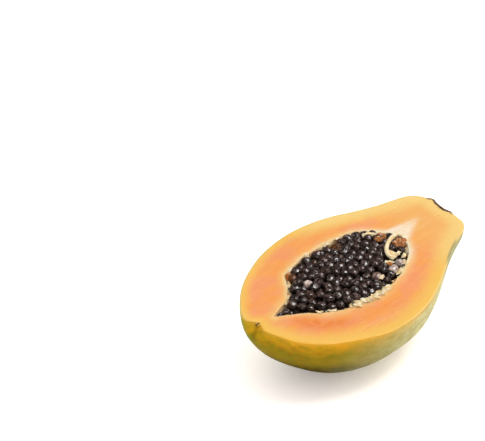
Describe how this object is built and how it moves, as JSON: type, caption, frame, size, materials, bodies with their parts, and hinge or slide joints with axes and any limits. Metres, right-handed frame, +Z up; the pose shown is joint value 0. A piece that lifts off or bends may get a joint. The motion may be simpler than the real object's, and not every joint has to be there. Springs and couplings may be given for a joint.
{
  "type": "papaya half",
  "caption": "Papaya cut lengthwise and lying on its skin, with a flat orange cut face and a seed cavity heaped with round dark seeds.",
  "frame": {"origin": "middle of the small flat spot on the skin that the half rests on", "axes": "+Z up, out of the cut face's side; +X along the fruit towards its stem end; +Y across the cut face, towards the edge that lies higher"},
  "size_m": [0.163, 0.0942, 0.0584],
  "materials": {
    "flesh": "moist orange flesh in a smooth waxy green to yellow skin",
    "seed": "wet gloss"
  },
  "bodies": {
    "root": {"papaya_half": "flesh", "seeds": "seed"}
  },
  "joints": []
}
